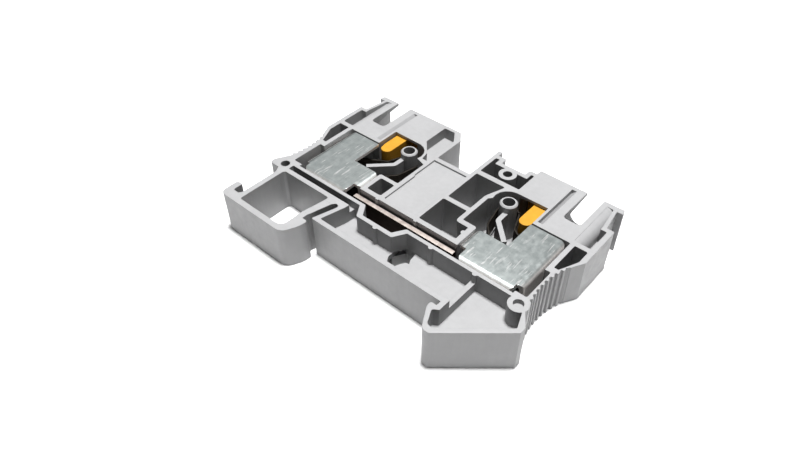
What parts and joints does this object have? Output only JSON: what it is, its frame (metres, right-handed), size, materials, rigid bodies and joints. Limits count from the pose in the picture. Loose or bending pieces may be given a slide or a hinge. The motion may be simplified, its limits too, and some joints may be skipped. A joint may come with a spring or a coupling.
{
  "type": "din rail terminal block",
  "caption": "Push-in feed-through terminal block for a top-hat rail, with release buttons, spring clamps, a current bar and a moulded rail latch.",
  "frame": {"origin": "middle of the footprint when the block lies on its closed side, at the closed side's face", "axes": "+X along the block's length, from the springy rail latch to the fixed rail hook; +Y from the rail to the wire entries; +Z across the thickness, from the closed side to the open side"},
  "size_m": [0.0698, 0.0508, 0.0102],
  "materials": {
    "housing": "light grey polyamide, finely eroded mould texture",
    "button": "orange polyamide, satin",
    "clamp_cage": "tin-plated folded strip with light scratches",
    "spring": "bright rolled spring steel",
    "current_bar": "tin-plated copper"
  },
  "bodies": {
    "block": {"housing": "housing", "current_bar": "current_bar", "clamp_cage_left": "clamp_cage", "clamp_cage_right": "clamp_cage", "clamp_spring_left": "spring", "clamp_spring_right": "spring"},
    "button_left": {"release_button_left": "button"},
    "button_right": {"release_button_right": "button"},
    "clamp_leg_left": {"clamp_spring_leg_left": "spring"},
    "clamp_leg_right": {"clamp_spring_leg_right": "spring"},
    "rail_latch": {"rail_latch_foot": "housing"},
    "flexure_outer": {"latch_flexure_outer": "housing"},
    "flexure_inner": {"latch_flexure_inner": "housing"}
  },
  "joints": [
    {"name": "press_left", "type": "slide", "parent": "block", "child": "button_left", "axis": [0, -1, 0], "range_m": [0, 0.0034], "stiffness_N_per_m": 3000, "springref_m": -0.0005},
    {"name": "press_right", "type": "slide", "parent": "block", "child": "button_right", "axis": [0, -1, 0], "range_m": [0, 0.0034], "stiffness_N_per_m": 3000, "springref_m": -0.0005},
    {"name": "open_clamp_left", "type": "hinge", "parent": "block", "child": "clamp_leg_left", "pos_m": [-0.0138, 0.01213, 0.0051], "axis": [0, 0, 1], "range_deg": [0, 20.1]},
    {"name": "open_clamp_right", "type": "hinge", "parent": "block", "child": "clamp_leg_right", "pos_m": [0.0138, 0.01213, 0.0051], "axis": [0, 0, -1], "range_deg": [0, 20.1]},
    {"name": "unlatch", "type": "slide", "parent": "block", "child": "rail_latch", "axis": [-1, 0, 0], "range_m": [0, 0.0015], "stiffness_N_per_m": 8000},
    {"name": "flex_outer", "type": "hinge", "parent": "block", "child": "flexure_outer", "pos_m": [-0.0306, -0.01342, 0.0051], "axis": [0, 0, -1], "range_deg": [0, 11.3]},
    {"name": "flex_inner", "type": "hinge", "parent": "block", "child": "flexure_inner", "pos_m": [-0.0154, -0.01293, 0.0051], "axis": [0, 0, -1], "range_deg": [0, 17.3]}
  ],
  "couplings": [
    {"joint": "open_clamp_left", "follows": "press_left", "rad_per_m": 102.67},
    {"joint": "open_clamp_right", "follows": "press_right", "rad_per_m": 102.67},
    {"joint": "flex_outer", "follows": "unlatch", "rad_per_m": 131},
    {"joint": "flex_inner", "follows": "unlatch", "rad_per_m": 200}
  ]
}
